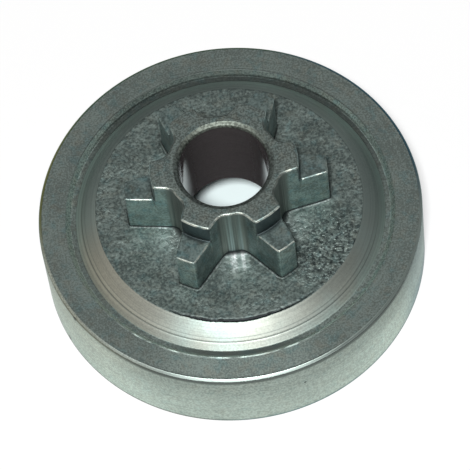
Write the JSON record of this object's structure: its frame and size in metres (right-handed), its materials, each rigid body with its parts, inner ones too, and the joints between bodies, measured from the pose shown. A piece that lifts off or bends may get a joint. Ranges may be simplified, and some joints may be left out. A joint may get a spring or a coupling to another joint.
{
  "type": "chainsaw clutch drum",
  "caption": "Steel clutch drum: an open cup with a smooth friction wall, a turned outer face with a raised web, and an integral spur sprocket round a through bore.",
  "frame": {"origin": "centre of the open rim's plane, on the bore axis", "axes": "+Z along the bore axis, from the open rim towards the sprocket's top face; +X along one tooth"},
  "size_m": [0.069, 0.069, 0.0316],
  "materials": {
    "drum_steel": "as-cast web and sprocket, turned wall and cone"
  },
  "bodies": {
    "root": {"clutch_drum": "drum_steel"}
  },
  "joints": []
}
